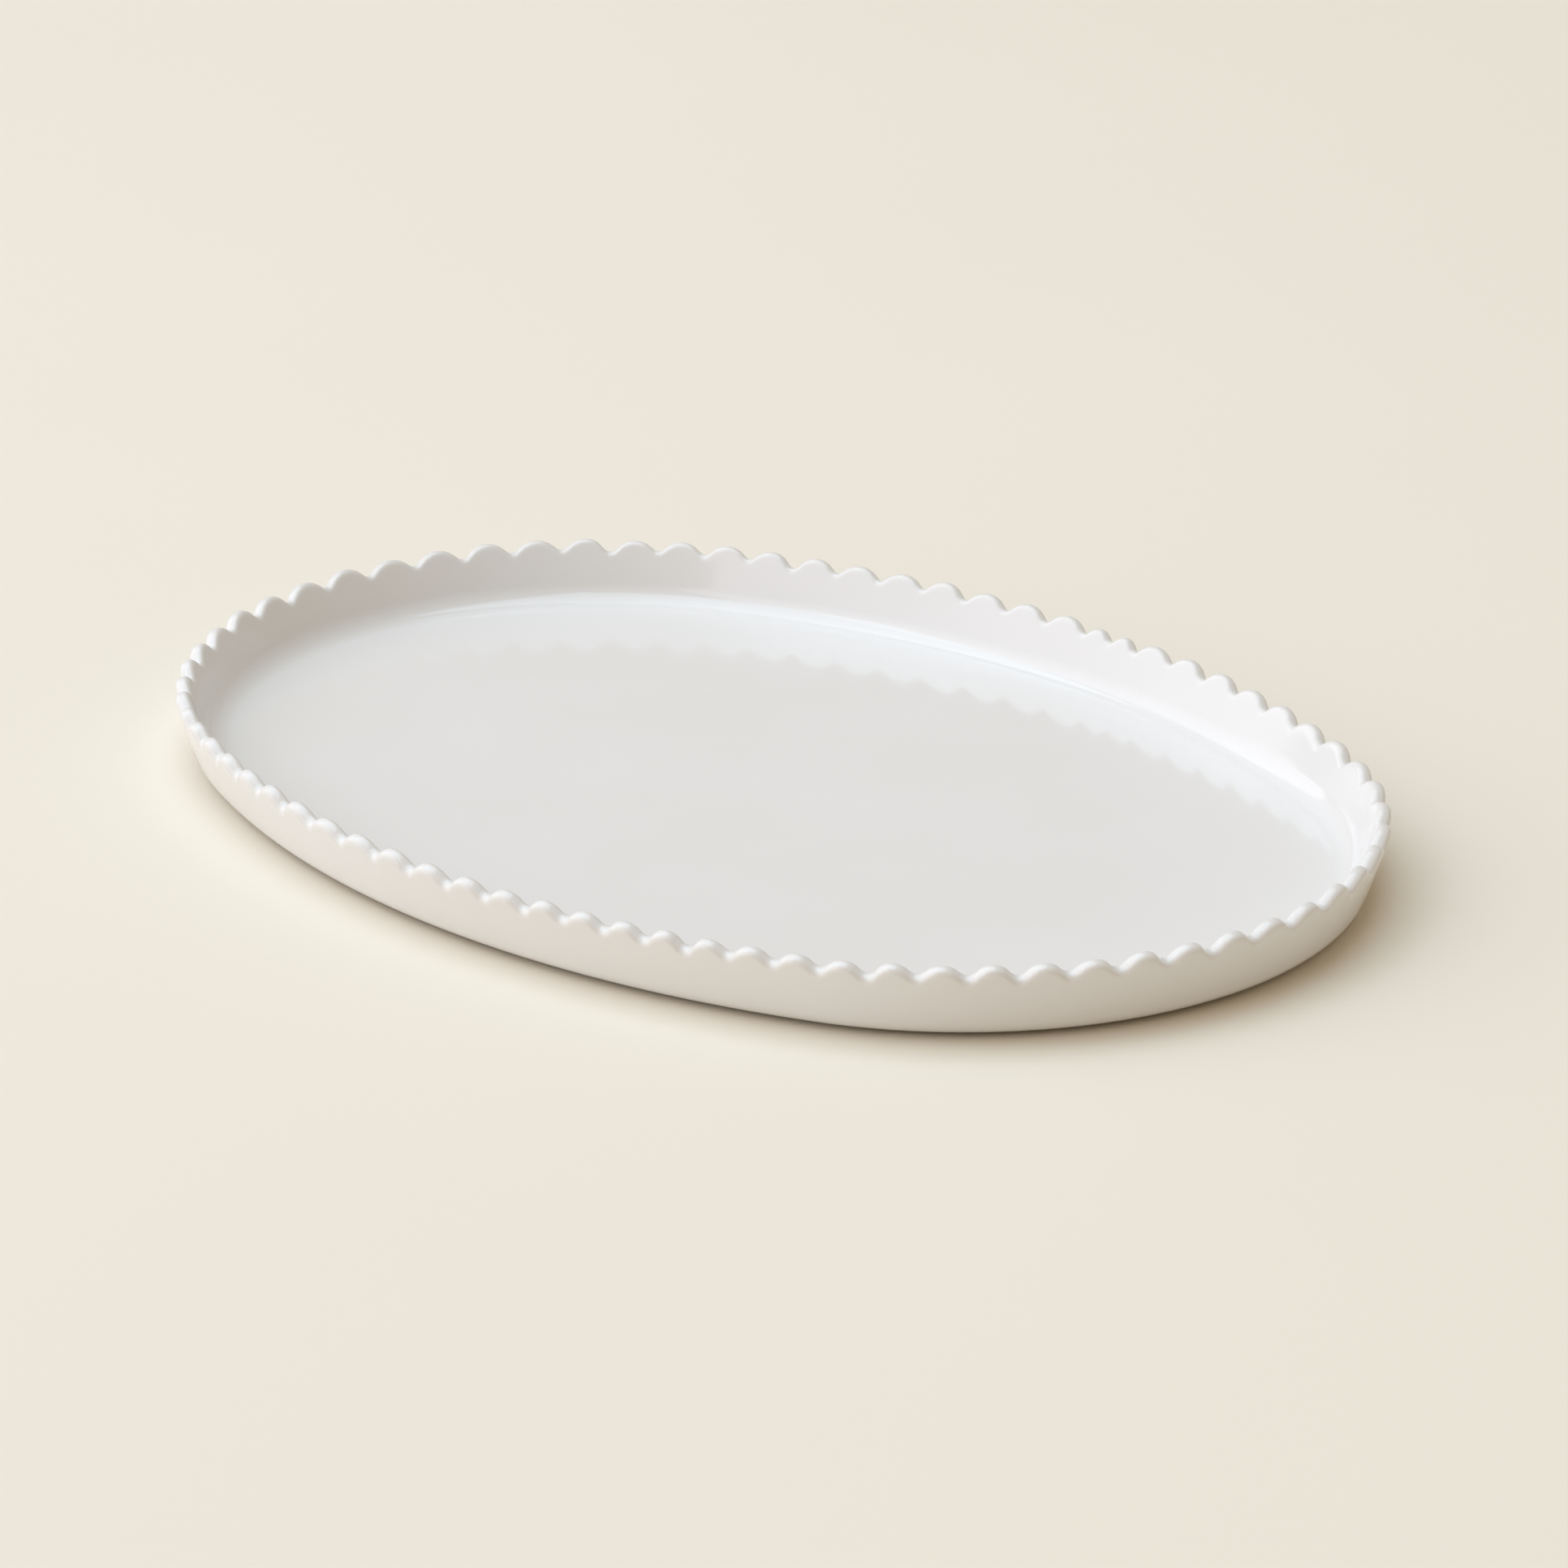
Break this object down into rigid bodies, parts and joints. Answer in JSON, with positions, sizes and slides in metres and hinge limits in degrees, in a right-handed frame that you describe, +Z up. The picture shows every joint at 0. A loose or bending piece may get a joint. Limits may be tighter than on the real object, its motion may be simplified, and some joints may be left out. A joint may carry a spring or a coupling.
{
  "type": "serving platter",
  "caption": "Oval serving platter in white-glazed stoneware with a low wall and a hand-cut scalloped rim.",
  "frame": {"origin": "centre of the plane the foot ring stands on", "axes": "+X along the platter's length, +Y across it, +Z up"},
  "size_m": [0.406, 0.286, 0.0246],
  "materials": {
    "fired_clay": "matte biscuit",
    "white_glaze": "glossy"
  },
  "bodies": {
    "root": {"clay_body": "fired_clay", "foot_ring": "fired_clay", "outer_glaze": "white_glaze", "base_glaze": "white_glaze"}
  },
  "joints": []
}
